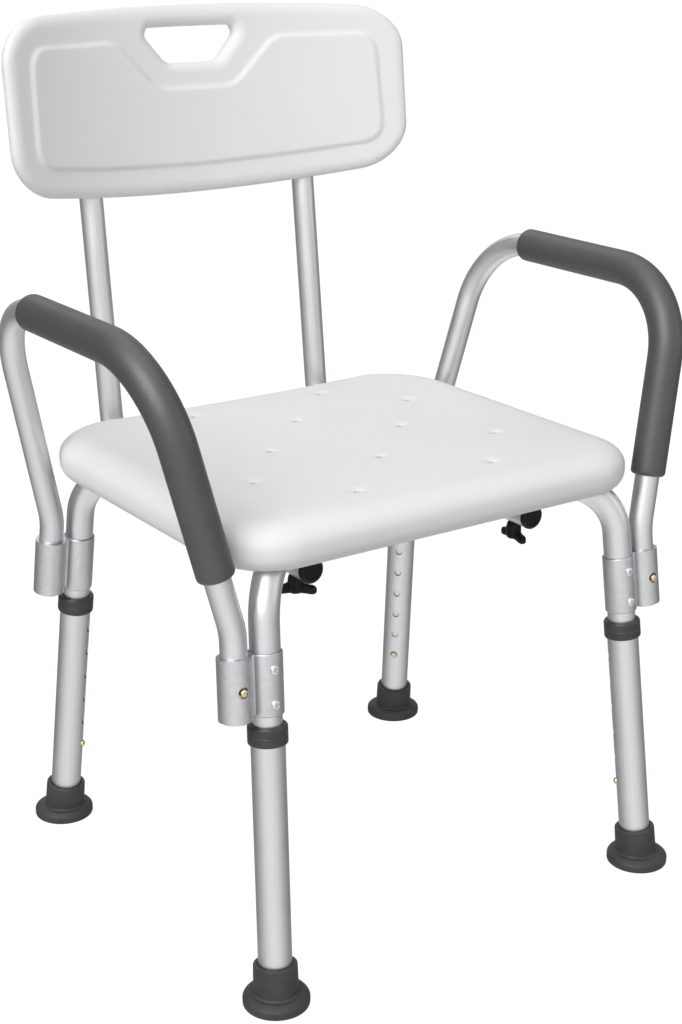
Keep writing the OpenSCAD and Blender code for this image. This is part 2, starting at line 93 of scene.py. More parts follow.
def seen_directly(tree):
    """One for a ray from the camera or through glass, and nothing for the rest."""
    path = tree.nodes.new("ShaderNodeLightPath")
    return reckon(tree, "MAXIMUM", path.outputs["Is Camera Ray"], path.outputs["Is Transmission Ray"])


# What metal mirrors of the room: white at the front left, darker and darker towards
# the rear right and lighter again at its very end, and white overhead and below.
room = bpy.data.worlds.new("room")
scene.world = room
room.use_nodes = True
tree = room.node_tree
air = tree.nodes["Background"]
air.inputs["Color"].default_value = (1, 1, 1, 1)
air.inputs["Strength"].default_value = 0.25
direction = tree.nodes.new("ShaderNodeTexCoord").outputs["Generated"]
away = tree.nodes.new("ShaderNodeVectorMath")
away.operation = "DOT_PRODUCT"
away.inputs[1].default_value = (0.5 * 0.570, 0.5 * 0.821, 0)
tree.links.new(direction, away.inputs[0])
greys = tree.nodes.new("ShaderNodeValToRGB")
stops = greys.color_ramp.elements
for place, grey in ((0.275, 0.65), (0.5, 0.38), (0.8, 0.20)):
    stops.new(place).color = (grey, grey, grey, 1)
stops[0].position, stops[0].color = 0.05, (1, 1, 1, 1)
stops[4].position, stops[4].color = 0.97, (0.5, 0.5, 0.5, 1)
tree.links.new(reckon(tree, "ADD", away.outputs["Value"], 0.5), greys.inputs[0])
split = tree.nodes.new("ShaderNodeSeparateXYZ")
tree.links.new(direction, split.inputs[0])
fade = tree.nodes.new("ShaderNodeMapRange")
fade.inputs["From Min"].default_value, fade.inputs["From Max"].default_value = 0.5, 0.9
tree.links.new(reckon(tree, "ABSOLUTE", split.outputs[2]), fade.inputs["Value"])
mirrored = tree.nodes.new("ShaderNodeMix")
mirrored.data_type = "RGBA"
mirrored.inputs[7].default_value = (1, 1, 1, 1)
tree.links.new(fade.outputs["Result"], mirrored.inputs["Factor"])
tree.links.new(greys.outputs[0], mirrored.inputs[6])
mirror = tree.nodes.new("ShaderNodeBackground")
mirror.inputs["Strength"].default_value = 1.15
tree.links.new(mirrored.outputs[2], mirror.inputs["Color"])
backdrop = tree.nodes.new("ShaderNodeBackground")
backdrop.inputs["Color"].default_value = (1, 1, 1, 1)
backdrop.inputs["Strength"].default_value = 1.0
glossy = tree.nodes.new("ShaderNodeLightPath").outputs["Is Glossy Ray"]
lit = blend(tree, glossy, air.outputs[0], mirror.outputs[0])
shown = blend(tree, seen_directly(tree), lit, backdrop.outputs[0])
tree.links.new(shown, tree.nodes["World Output"].inputs["Surface"])

floor_reach, floor_z = 60, -0.0003
floor_corners = [(x * floor_reach, y * floor_reach, floor_z) for x, y in ((-1, -1), (1, -1), (1, 1), (-1, 1))]
ground = bpy.data.meshes.new("floor")
ground.from_pydata(floor_corners, [], [(0, 1, 2, 3)])
floor = bpy.data.objects.new("floor", ground)
scene.collection.objects.link(floor)
floor.visible_glossy = False
paper = bpy.data.materials.new("floor_paper")
paper.use_nodes = True
tree = paper.node_tree
matt = tree.nodes["Principled BSDF"]
matt.inputs["Base Color"].default_value = (0.50, 0.50, 0.50, 1)
matt.inputs["Roughness"].default_value = 0.9
glow = tree.nodes.new("ShaderNodeEmission")
glow.inputs["Strength"].default_value = 1.22
share = reckon(tree, "MULTIPLY", seen_directly(tree), 0.82)
shown = blend(tree, share, matt.outputs[0], glow.outputs[0])
tree.links.new(shown, tree.nodes["Material Output"].inputs["Surface"])
ground.materials.append(paper)


def aimed(place, target):
    """A frame at place that looks along its own -Z at target, with its Y as near upright as can be."""
    back = np.subtract(place, target).astype(float)
    back /= np.linalg.norm(back)
    right = np.cross((0, 0, 1), back)
    right /= np.linalg.norm(right)
    turn = Matrix(np.stack([right, np.cross(back, right), back], 1).tolist()).to_4x4()
    return Matrix.Translation(place) @ turn


for name, place, size, power in (
    ("key", (-2.6, -1.5, 3.1), 3.0, 138),
    ("top", (0.3, 0.3, 3.3), 2.4, 10),
    ("fill", (2.9, -2.4, 1.6), 2.4, 16),
    ("back", (0.9, 3.0, 2.6), 2.0, 10),
):
    softbox = bpy.data.lights.new(name, "AREA")
    softbox.size = size
    softbox.energy = power
    lamp = bpy.data.objects.new(name, softbox)
    lamp.matrix_world = aimed(place, (0, 0, 0.45))
    scene.collection.objects.link(lamp)


# ---- Rubber feet ----
# A moulded grey rubber ferrule pushed over the end of each leg: a wide flat
# foot on the floor and a neck that leans with the leg, with a steel disc inside.

corners = ("fl", "fr", "rl", "rr")
sideways = {c: -1 if c[1] == "l" else 1 for c in corners}
rearward = {c: -1 if c[0] == "f" else 1 for c in corners}
leg_up = {j["name"][4:6]: -np.array(j["axis"]) for j in frame["joints"] if j["name"].endswith("_height")}
foot_box = {c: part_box("foot_" + c) for c in corners}
foot_mid = {c: np.array([*((low + high) / 2)[:2], 0.0]) for c, (low, high) in foot_box.items()}
leg_side = {c: np.cross(np.cross(leg_up[c], (1, 0, 0)), leg_up[c]) for c in corners}
leg_side = {c: v / np.linalg.norm(v) for c, v in leg_side.items()}
leg_rear = {c: np.cross(leg_up[c], leg_side[c]) for c in corners}
stance_y = sum(foot_mid[c][1] for c in corners) / 4


def leg_point(c, up, out=0.0):
    """A point that far up a leg's leaning axis, and that far sideways from it, away from the middle."""
    return foot_mid[c] + up * leg_up[c] + out * sideways[c] * leg_side[c]


def new_finish(name, colour, roughness, metallic=0.0):
    """A material of one colour and roughness, with the tree and shader that its pattern is added to."""
    material = bpy.data.materials.new(name)
    material.use_nodes = True
    shader = material.node_tree.nodes["Principled BSDF"]
    shader.inputs["Base Color"].default_value = (*colour, 1)
    shader.inputs["Roughness"].default_value = roughness
    shader.inputs["Metallic"].default_value = metallic
    return material, material.node_tree, shader


def grain(tree, where, scale, detail=3.0, kind="ShaderNodeTexNoise"):
    """A texture's value at the coordinates `where`, with `scale` features to the unit."""
    texture = tree.nodes.new(kind)
    texture.inputs["Scale"].default_value = scale
    texture.inputs["Detail"].default_value = detail
    tree.links.new(where, texture.inputs["Vector"])
    return texture.outputs[0]


def vary(tree, value, socket, low, high, span=(0.3, 0.7)):
    """Feeds a socket a number or colour that runs from low to high as value runs across its span."""
    ramp = tree.nodes.new("ShaderNodeMapRange")
    ramp.inputs["From Min"].default_value, ramp.inputs["From Max"].default_value = span
    tree.links.new(value, ramp.inputs["Value"])
    if isinstance(low, float):
        ramp.inputs["To Min"].default_value, ramp.inputs["To Max"].default_value = low, high
        tree.links.new(ramp.outputs["Result"], socket)
        return
    mix = tree.nodes.new("ShaderNodeMix")
    mix.data_type = "RGBA"
    mix.inputs[6].default_value, mix.inputs[7].default_value = (*low, 1), (*high, 1)
    tree.links.new(ramp.outputs["Result"], mix.inputs["Factor"])
    tree.links.new(mix.outputs[2], socket)


def emboss(tree, shader, heights):
    """Chains bump nodes into the shader: each height is (value, strength, distance in metres)."""
    normal = None
    for value, strength, distance in heights:
        bump = tree.nodes.new("ShaderNodeBump")
        bump.inputs["Strength"].default_value = strength
        bump.inputs["Distance"].default_value = distance
        tree.links.new(value, bump.inputs["Height"])
        if normal:
            tree.links.new(normal, bump.inputs["Normal"])
        normal = bump.outputs["Normal"]
    tree.links.new(normal, shader.inputs["Normal"])


def object_place(tree):
    """A piece's own coordinates, in metres."""
    return tree.nodes.new("ShaderNodeTexCoord").outputs["Object"]


def metal(name, colour, roughness, scale, rough, bumps, colours=None, detail=3.0):
    """A bare metal: its roughness, and its colour where it has two, follow one grain that also
    embosses it. rough and colours are (low, high), and bumps are (strength, distance)."""
    material, tree, shader = new_finish(name, colour, roughness, 1.0)
    pattern = grain(tree, object_place(tree), scale, detail)
    if colours:
        vary(tree, pattern, shader.inputs["Base Color"], *colours)
    vary(tree, pattern, shader.inputs["Roughness"], *rough)
    emboss(tree, shader, [(pattern, *bumps)])
    return material


def skin(name, grids, material, crease=38):
    """One mesh from grids of points (rows, columns, 3), each (grid, around, along, caps, kept): quads
    join neighbouring rows and columns, the last column to the first where around is true, the last
    row to the first where along is true, and only where kept is true. Caps close the first and last
    rows with fans. Points in one place become one. UV: the share of the way round, metres along."""
    points, faces, uvs, count = [], [], [], 0
    for grid, around, along, caps, kept in grids:
        rows, cols = grid.shape[:2]
        step = np.linalg.norm(np.diff(grid, axis=0), axis=2).mean(1)
        metres = np.concatenate([[0], np.cumsum(step), [step.sum() + 0.001]])
        r, c = np.meshgrid(np.arange(rows - (not along)), np.arange(cols - (not around)), indexing="ij")
        if kept is not None:
            r, c = r[kept], c[kept]
        r, c = r.ravel(), c.ravel()
        r1, c1 = (r + 1) % rows, (c + 1) % cols
        faces += (count + np.stack([r * cols + c, r * cols + c1, r1 * cols + c1, r1 * cols + c], 1)).tolist()
        near, far, low, high = c / cols, (c + 1) / cols, metres[r], metres[r + 1]
        uvs.append(np.stack([near, low, far, low, far, high, near, high], 1).reshape(-1, 2))
        points.append(grid.reshape(-1, 3))
        count += rows * cols
        if caps:
            a, start = np.arange(cols), count - rows * cols
            ends, share = (a, (a + 1) % cols), (a / cols, (a + 1) / cols)
            for row, one, two in ((0, 1, 0), (rows - 1, 0, 1)):
                v = np.full(cols, metres[row])
                points.append(grid[row].mean(0)[None])
                first = start + row * cols
                faces += np.stack([np.full(cols, count), first + ends[one], first + ends[two]], 1).tolist()
                uvs.append(np.stack([(a + 0.5) / cols, v, share[one], v, share[two], v], 1).reshape(-1, 2))
                count += 1
    points = np.concatenate(points)
    unique, number = np.unique(np.round(points, 7), axis=0, return_inverse=True)
    number = number.ravel()
    mesh = bpy.data.meshes.new(name)
    mesh.from_pydata(unique.tolist(), [], [[int(number[i]) for i in face] for face in faces])
    layer = mesh.uv_layers.new(name="UVMap")
    layer.data.foreach_set("uv", np.concatenate(uvs).astype(np.float32).ravel())
    mesh.polygons.foreach_set("use_smooth", np.ones(len(mesh.polygons), bool))
    mesh.set_sharp_from_angle(angle=math.radians(crease))
    mesh.materials.append(material)
    made = bpy.data.objects.new(name, mesh)
    scene.collection.objects.link(made)
    return made


def capped(grid):
    """For skin: rings with a fan over the first and the last."""
    return grid, True, False, True, None


def looped(grid, kept=None):
    """For skin: rings whose last joins the first, as in a pipe's wall or a hoop."""
    return grid, True, True, False, kept


def band(grid):
    """For skin: rings open at both ends."""
    return grid, True, False, False, None


def soften(corners, cuts, steps=5, closed=False):
    """A line through the corners with each one rounded: the line leaves a side its cut before the
    corner and joins the next side its cut after it, along a parabola that the corner pulls on."""
    p = np.array(corners, float)
    cuts = np.broadcast_to(np.asarray(cuts, float), len(p))
    t = np.linspace(0, 1, steps + 1)[:, None]
    line = []
    for i, (corner, cut) in enumerate(zip(p, cuts)):
        if cut == 0 or (not closed and i in (0, len(p) - 1)):
            line.append(corner[None])
            continue
        before, after = p[i - 1] - corner, p[(i + 1) % len(p)] - corner
        a = corner + before / np.linalg.norm(before) * cut
        b = corner + after / np.linalg.norm(after) * cut
        line.append((1 - t) ** 2 * a + 2 * t * (1 - t) * corner + t ** 2 * b)
    return np.concatenate(line)


def smooth(x):
    """Nothing below 0, one above 1, and an S-curve between."""
    x = np.clip(x, 0, 1)
    return x * x * (3 - 2 * x)


def turned(profile, middle, axis, across, sides=64):
    """A turned shape: each (radius, height) of the profile becomes a ring about the axis."""
    profile = np.asarray(profile, float)
    axis = np.asarray(axis, float) / np.linalg.norm(axis)
    across = np.asarray(across, float) - np.dot(across, axis) * axis
    across /= np.linalg.norm(across)
    turn = np.linspace(0, 2 * np.pi, sides, endpoint=False)
    ring = np.cos(turn)[:, None] * across + np.sin(turn)[:, None] * np.cross(axis, across)
    return middle + profile[:, :1, None] * ring[None] + profile[:, 1:, None] * axis


rubber, tree, shader = new_finish("grey_rubber", (0.042, 0.043, 0.046), 0.54)
place = object_place(tree)
mottle = grain(tree, place, 70, 4.0)
fine = grain(tree, place, 1300, 2.0)
vary(tree, mottle, shader.inputs["Base Color"], (0.034, 0.035, 0.038), (0.050, 0.052, 0.055))
vary(tree, fine, shader.inputs["Roughness"], 0.46, 0.64)
emboss(tree, shader, [(mottle, 0.25, 0.0004), (fine, 0.35, 0.00012)])
shader.inputs["Specular IOR Level"].default_value = 0.42

flange_r = (foot_box["fl"][1] - foot_box["fl"][0])[0] / 2
neck_r = 0.0188
leg_r = 0.0143
groove_r = (0.0091, 0.0161, 0.0231)
groove_deep = 0.0010
bore_rows = 8
shear_from, shear_over = 0.0060, 0.005
lean_from, lean_over = 0.0120, 0.014
tread = [(0.004, 0)]
for r in groove_r:
    tread += [(r - 0.0013, 0), (r - 0.0007, groove_deep), (r + 0.0007, groove_deep), (r + 0.0013, 0)]
skirt = soften([(0.0246, 0), (flange_r - 0.0002, 0), (flange_r, 0.0070), (0.0232, 0.0106), (0.0206, 0.0106),
                (neck_r + 0.0003, 0.0118), (neck_r + 0.0001, 0.0200), (neck_r - 0.0002, 0.0348),
                (leg_r + 0.0016, 0.0356), (leg_r + 0.0002, 0.0345), (leg_r + 0.0002, 0.0090),
                (0.004, 0.0090)],
               [0, 0.0012, 0.0022, 0.0009, 0.0005, 0.0008, 0.003, 0.0011, 0.0008, 0.0006, 0.0006, 0], 6)
sole = np.concatenate([tread, skirt])
# The sole is level. Above it the rings shift over to the leg's axis, and the neck's turn square to it.
for c in corners:
    leaning = turned(sole, foot_mid[c], leg_up[c], (1, 0, 0))
    height = sole[:, 1, None, None]
    sheared = height * smooth((height - shear_from) / shear_over) * (leg_up[c] / leg_up[c][2] - (0, 0, 1))
    flat = turned(sole, foot_mid[c], (0, 0, 1), (1, 0, 0)) + sheared
    lean = smooth((height - lean_from) / lean_over)
    lean[-bore_rows:] = 1
    foot = skin("foot_rubber_" + c, [capped(flat + lean * (leaning - flat))], rubber)
    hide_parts("foot_" + c)
    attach(foot, "leg_" + c)

plain_steel = metal("disc_steel_finish", (0.52, 0.53, 0.54), 0.34, 900, (0.26, 0.46), (0.15, 0.0001))
for c in corners:
    frame["nodes"]["foot_disc_" + c].material_slots[0].material = plain_steel


# ---- Lower legs ----
# Drawn aluminium tube, satin anodised, with a row of height holes on the side
# that faces the middle; it slides on the crossed tube inside it.


def round_tube(tree, along):
    """Coordinates that run round a tube without a seam: the cosine and sine of the UV's first number
    as an angle, and its metres times `along`."""
    split = tree.nodes.new("ShaderNodeSeparateXYZ")
    tree.links.new(tree.nodes.new("ShaderNodeTexCoord").outputs["UV"], split.inputs[0])
    angle = reckon(tree, "MULTIPLY", split.outputs[0], 2 * math.pi)
    length = reckon(tree, "MULTIPLY", split.outputs[1], along)
    join = tree.nodes.new("ShaderNodeCombineXYZ")
    waves = reckon(tree, "COSINE", angle), reckon(tree, "SINE", angle)
    for value, socket in zip((*waves, length), join.inputs):
        tree.links.new(value, socket)
    return join.outputs[0]


aluminium, tree, shader = new_finish("tube_aluminium_satin", (0.62, 0.63, 0.64), 0.39, 1.0)
streaks = grain(tree, round_tube(tree, 0.5), 34, 3.0)
cloud = grain(tree, object_place(tree), 26, 3.0)
dust = grain(tree, object_place(tree), 2600, 2.0)
vary(tree, streaks, shader.inputs["Base Color"], (0.58, 0.59, 0.60), (0.66, 0.67, 0.68))
vary(tree, cloud, shader.inputs["Roughness"], 0.34, 0.44)
emboss(tree, shader, [(streaks, 0.12, 0.00025), (dust, 0.12, 0.00004)])


def lines(low, high, centres, half, inside, spacing):
    """Grid lines from low to high: `inside` even steps across the band that reaches half to either side
    of each centre, and steps no longer than spacing between those bands."""
    bands = [np.linspace(m - half, m + half, inside + 1) for m in sorted(centres)]
    ends = [low] + [b[i] for b in bands for i in (0, -1)] + [high]
    gaps = [np.linspace(a, b, max(math.ceil((b - a) / spacing), 1) + 1)
            for a, b in zip(ends[::2], ends[1::2])]
    return np.unique(np.round(np.concatenate(bands + gaps), 9))


def rim(us, vs):
    """The points round a rectangle of grid lines, from its lower left corner and counter-clockwise."""
    low = np.stack([us[:-1], np.full(len(us) - 1, vs[0])], 1)
    right = np.stack([np.full(len(vs) - 1, us[-1]), vs[:-1]], 1)
    top = np.stack([us[:0:-1], np.full(len(us) - 1, vs[-1])], 1)
    left = np.stack([np.full(len(vs) - 1, us[0]), vs[:0:-1]], 1)
    return np.concatenate([low, right, top, left])


def pierced_tube(middle, axis, across, outer, wall, low, high, holes, hole_r, half=0.0052, inside=8):
    """A tube wall with round holes on its far side from across. The outer grid and the inner one are
    joined over both ends; round each hole a square of the grid gives way to rings that run from
    the square to the hole's edge, through the wall and out to the square again."""
    axis = np.asarray(axis, float)
    side = np.asarray(across, float) - np.dot(across, axis) * axis
    side /= np.linalg.norm(side)
    third = np.cross(axis, side)

    def on_tube(u, v, depth):
        r = (outer - depth)[..., None]
        a = (u / outer)[..., None]
        return middle + r * (np.cos(a) * side + np.sin(a) * third) + v[..., None] * axis

    round_way = 2 * np.pi * outer
    us = lines(0, round_way, [round_way / 2], half, inside, 0.0025)[:-1]
    vs = lines(low, high, holes, half, inside, 0.006)
    u, v = np.meshgrid(us, vs)
    mid_u, mid_v = (us[:-1] + us[1:]) / 2, (vs[:-1] + vs[1:]) / 2
    open_u = np.append(np.abs(mid_u - round_way / 2) < half, False)
    open_v = (np.abs(mid_v[:, None] - np.array(holes)) < half).any(1)
    kept = ~(open_v[:, None] & open_u[None])
    shell = np.concatenate([on_tube(u, v, 0 * u), on_tube(u, v, 0 * u + wall)[::-1]])
    solid = np.ones((1, len(us)), bool)
    kept = np.concatenate([kept, solid, kept[::-1], solid])
    grids = [looped(shell, kept)]
    lip, flat = 0.0002, 0.0008
    for h in holes:
        square = rim(us[np.abs(us - round_way / 2) < half + 1e-6], vs[np.abs(vs - h) < half + 1e-6])
        out = square - (round_way / 2, h)
        circle = out / np.linalg.norm(out, axis=1)[:, None]
        down = [(out, 0), (circle * (hole_r + flat), 0), (circle * (hole_r + lip), 0), (circle * hole_r, lip)]
        rows = down + [(p, wall - depth) for p, depth in down[::-1]]
        strip = [on_tube(p[:, 0] + round_way / 2, p[:, 1] + h, np.full(len(p), float(depth)))
                 for p, depth in rows]
        grids.append(band(np.stack(strip)))
    return grids


tube_wall = 0.0012
leg_low, leg_high = 0.009, 0.240
hole_r = 0.0037
hole_up = [0.0814 + 0.0254 * i for i in range(6)]
for c in corners:
    outward = foot_mid[c] * (1, 1, 0) - (0, stance_y, 0)
    grids = pierced_tube(foot_mid[c], leg_up[c], outward, leg_r, tube_wall,
                         leg_low, leg_high, hole_up, hole_r)
    tube = skin("leg_tube_" + c, grids, aluminium)
    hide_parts("lower_leg_" + c)
    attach(tube, "leg_" + c)


# ---- Collars ----
# A grey nylon ring pressed on the top of each lower leg: it guides the crossed
# tube and hides the cut end. The mould leaves a fine line round its middle.

nylon, tree, shader = new_finish("grey_nylon", (0.034, 0.035, 0.037), 0.40)
place = object_place(tree)
mottle = grain(tree, place, 110, 4.0)
fine = grain(tree, place, 1500, 2.0)
vary(tree, mottle, shader.inputs["Base Color"], (0.028, 0.029, 0.031), (0.042, 0.043, 0.045))
vary(tree, fine, shader.inputs["Roughness"], 0.34, 0.48)
emboss(tree, shader, [(mottle, 0.12, 0.0003), (fine, 0.25, 0.00008)])

collar_r = 0.0167
ring = soften([(0.01445, 0.2265), (0.0159, 0.2265), (collar_r, 0.2276), (collar_r, 0.2341),
               (collar_r - 0.00025, 0.2345), (collar_r, 0.2349), (collar_r, 0.2414), (0.0156, 0.2430),
               (0.0132, 0.2430), (0.0132, 0.2401), (0.01445, 0.2401)],
              [0.0003, 0.0004, 0.0007, 0.0002, 0.0001, 0.0002, 0.0010, 0.0007, 0.0005, 0.0002, 0.0002],
              4, closed=True)
for c in corners:
    collar = skin("collar_" + c, [looped(turned(ring, foot_mid[c], leg_up[c], (1, 0, 0)))], nylon)
    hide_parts("leg_collar_" + c)
    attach(collar, "leg_" + c)


# ---- Snap buttons ----
# Domed brass pins on bent steel strips: one clicks into each leg's height hole
# and one holds each end of an arm in its sleeve.

brass = metal("button_brass_worn", (0.66, 0.54, 0.34), 0.30, 420, (0.20, 0.42), (0.15, 0.00008),
              ((0.56, 0.42, 0.22), (0.74, 0.64, 0.44)), detail=4.0)
spring = metal("spring_strip", (0.50, 0.51, 0.53), 0.32, 700, (0.24, 0.44), (0.15, 0.00006))
for name in ("leg_button_springs", "arm_button_springs"):
    frame["nodes"][name].material_slots[0].material = spring


pin_r, pin_flange_r, pin_dome = 0.0032, 0.0042, 0.0021


def pin(tail, tip):
    """The outline of a button from its flanged tail to its domed tip."""
    stem = [(pin_flange_r, tail), (pin_flange_r, tail + 0.0012), (pin_r, tail + 0.0013),
            (pin_r, tip - 0.0024)]
    turn = np.linspace(0, 0.5 * np.pi, 8)[:-1]
    dome = np.stack([pin_r * np.cos(turn), tip - pin_dome + pin_dome * np.sin(turn)], 1)
    return np.concatenate([stem, dome])


arm_out = 0.029
button_up = 0.2775
for c in corners:
    inward = (np.array([0, stance_y, 0]) - foot_mid[c]) * (1, 1, 0)
    inward = inward - np.dot(inward, leg_up[c]) * leg_up[c]
    inward /= np.linalg.norm(inward)
    shape = turned(pin(0.0091, 0.0169), leg_point(c, hole_up[0]), inward, leg_up[c], 40)
    leg_pin = skin("leg_pin_" + c, [capped(shape)], brass)
    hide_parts("leg_button_" + c)
    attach(leg_pin, "leg_snap_" + c)
    outward = leg_rear[c] * rearward[c]
    shape = turned(pin(0.0075, 0.0165), leg_point(c, button_up, arm_out), outward, leg_up[c], 40)
    arm_pin = skin("arm_pin_" + c, [capped(shape)], brass)
    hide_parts("arm_button_" + c)
    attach(arm_pin, "arm_snap_" + c)


# ---- Crossed upper tubes ----
# Two aluminium tubes bent down into legs at both ends, crossed under the seat,
# pressed flat where they cross and held together there by a bolt.


def bent_line(corners, radii, spacing=0.05, fine=math.radians(3)):
    """Points and headings along straights joined by arcs: an arc of radius r that turns the line by t
    starts and ends r tan(t / 2) from its corner, and swings about a centre r to the inside."""
    p = np.array(corners, float)
    go = np.diff(p, axis=0)
    go /= np.linalg.norm(go, axis=1)[:, None]
    turn = np.arccos(np.clip((go[:-1] * go[1:]).sum(1), -1, 1))
    cut = np.concatenate([[0], np.array(radii) * np.tan(turn / 2), [0]])
    points, headings = [], []
    for i in range(len(go)):
        a, b = p[i] + cut[i] * go[i], p[i + 1] - cut[i + 1] * go[i]
        t = np.linspace(0, 1, max(int(np.linalg.norm(b - a) / spacing), 1) + 1)[:, None]
        points.append(a + t * (b - a))
        headings.append(np.repeat(go[i:i + 1], len(t), 0))
        if i < len(radii):
            inside = go[i + 1] - np.dot(go[i + 1], go[i]) * go[i]
            inside /= np.linalg.norm(inside)
            s = np.linspace(0, turn[i], max(int(turn[i] / fine), 2) + 1)[1:-1, None]
            points.append(b + radii[i] * (np.sin(s) * go[i] + (1 - np.cos(s)) * inside))
            headings.append(np.cos(s) * go[i] + np.sin(s) * inside)
    return np.concatenate(points), np.concatenate(headings)


def hoops(path, heading, across, radius, sides=48):
    """Rings square to a path, counted from the across direction, of one radius for each row."""
    side = across - (heading @ np.asarray(across, float))[:, None] * heading
    side /= np.linalg.norm(side, axis=1)[:, None]
    up = np.cross(heading, side)
    turn = np.linspace(0, 2 * np.pi, sides, endpoint=False)[None, :, None]
    radius = np.broadcast_to(radius, len(path))[:, None, None]
    return path[:, None] + radius * (np.cos(turn) * side[:, None] + np.sin(turn) * up[:, None])


cross_z = 0.366
upper_r = 0.0127
upper_end = 0.064
knee_r = 0.047
flat_half, flat_ramp = 0.044, 0.020
widened, thinned, stacked = 0.0033, 0.0073, 0.00555
for name, c, far, level in (("cross_tube_a", "fl", "rr", 1), ("cross_tube_b", "fr", "rl", -1)):
    knees = [leg_point(k, cross_z / leg_up[k][2]) for k in (c, far)]
    ends = leg_point(c, upper_end), leg_point(far, upper_end)
    line, heading = bent_line([ends[0], *knees, ends[1]], [knee_r, knee_r], 0.006)
    run = knees[1] - knees[0]
    run /= np.linalg.norm(run)
    flat_side = np.cross((0, 0, 1), run)
    from_middle = np.linalg.norm(line - (0, stance_y, cross_z), axis=1)
    press = smooth((flat_half - from_middle) / flat_ramp)
    turn = np.linspace(0, 2 * np.pi, 48, endpoint=False)[None]
    power = (1 - 0.55 * press)[:, None]
    wide = (upper_r + press * widened)[:, None] * np.sign(np.cos(turn)) * np.abs(np.cos(turn)) ** power
    tall = (upper_r - press * thinned)[:, None] * np.sign(np.sin(turn)) * np.abs(np.sin(turn)) ** power
    up = np.cross(heading, flat_side)
    rings = line[:, None] + wide[..., None] * flat_side + tall[..., None] * up[:, None]
    rings[..., 2] += (press * level * stacked)[:, None]
    tube = skin(name + "_skin", [capped(rings)], aluminium)
    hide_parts(name)
    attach(tube, "frame")

zinc = metal("zinc_plate", (0.60, 0.61, 0.63), 0.30, 500, (0.22, 0.40), (0.12, 0.00006),
             ((0.54, 0.55, 0.58), (0.66, 0.67, 0.68)))
frame["nodes"]["cross_bolt"].material_slots[0].material = zinc
frame["nodes"]["cross_nut"].material_slots[0].material = zinc
for c in corners:
    frame["nodes"]["knob_stud_" + c].material_slots[0].material = zinc
frame["nodes"]["tube_saddles"].material_slots[0].material = nylon
frame["nodes"]["seat_inserts"].material_slots[0].material = brass


# ---- Brackets and rivets ----
# An extruded aluminium double sleeve, riveted to each leg, whose outer bore
# takes one end of an arm. Its ends are tumbled smooth.

extruded, tree, shader = new_finish("bracket_extrusion", (0.55, 0.56, 0.57), 0.36, 1.0)
draw_lines = grain(tree, round_tube(tree, 0.8), 60, 3.0)
pitting = grain(tree, object_place(tree), 240, 4.0)
vary(tree, pitting, shader.inputs["Base Color"], (0.52, 0.53, 0.54), (0.58, 0.59, 0.60))
vary(tree, draw_lines, shader.inputs["Roughness"], 0.30, 0.44)
emboss(tree, shader, [(draw_lines, 0.14, 0.0002), (pitting, 0.08, 0.0001)])

sleeve_low, sleeve_high = 0.252, 0.304
sleeve_r, bore_r = 0.0143, 0.01285
soft = 0.0006
sleeve = soften([(sleeve_r, sleeve_low + soft), (sleeve_r, sleeve_high - soft),
                 (sleeve_r - soft, sleeve_high), (bore_r + soft, sleeve_high),
                 (bore_r, sleeve_high - soft), (bore_r, sleeve_low + soft),
                 (bore_r + soft, sleeve_low), (sleeve_r - soft, sleeve_low)], 0.0002, 2, closed=True)
web_out = np.linspace(0.0060, 0.0230, 22)
web_half = 0.0052 + 0.0046 * np.abs((web_out - arm_out / 2) / 0.0085) ** 3
web_outline = np.stack([np.append(web_out, web_out[::-1]), np.append(-web_half, web_half[::-1])], 1)
web_up = np.array([sleeve_low + 0.0004, sleeve_low + 0.0010, sleeve_high - 0.0010, sleeve_high - 0.0004])
web_pinch = np.array([0.93, 1, 1, 0.93])[:, None, None]
for c in corners:
    outward = leg_rear[c] * rearward[c]
    grids = pierced_tube(leg_point(c, 0, arm_out), leg_up[c], -outward, sleeve_r, 0.0030,
                         sleeve_low, sleeve_high, [button_up], hole_r=0.0047, half=0.0062)
    grids.append(looped(turned(sleeve, foot_mid[c], leg_up[c], leg_side[c])))
    section = web_outline[::sideways[c]]
    web = (foot_mid[c] + sideways[c] * section[None, :, :1] * leg_side[c]
           + section[None, :, 1:] * web_pinch * leg_rear[c] + web_up[:, None, None] * leg_up[c])
    grids.append(capped(web))
    bracket = skin("bracket_sleeves_" + c, grids, extruded)
    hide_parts("bracket_" + c)
    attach(bracket, "frame")

rivet_metal = metal("rivet_dome", (0.66, 0.67, 0.68), 0.30, 900, (0.18, 0.34), (0.15, 0.00008))
dome = soften([(0.0020, -0.0026), (0.0020, -0.0007), (0.0042, -0.0007), (0.0041, 0.0005),
               (0.0028, 0.0016), (0.0018, 0.0017), (0.0015, -0.0018)],
              [0, 0.0002, 0.0002, 0.0007, 0.0007, 0.0002, 0], 4)
rivet_up = (0.262, 0.291)
heads = []
for c in corners:
    outward = leg_rear[c] * rearward[c]
    for up in rivet_up:
        face = leg_point(c, up) + outward * (sleeve_r + 0.0001)
        heads.append(capped(turned(dome, face, outward, leg_up[c], 32)))
rivets = skin("rivet_heads", heads, rivet_metal)
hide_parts("bracket_rivets")
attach(rivets, "frame")


# ---- Arm tubes ----
# One length of lighter aluminium tube for each arm: it rises out of the front
# sleeve, leans outwards, runs back as a rail and comes down into the rear sleeve.

light_r = 0.0111
arm_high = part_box("arm_tube_r")[1]
arm_end = 0.250
rail_z = arm_high[2] - light_r
rail_x = arm_high[0] - light_r
rail_reach = 0.135
neck_z = 0.322
elbow_r, corner_r = 0.070, 0.078


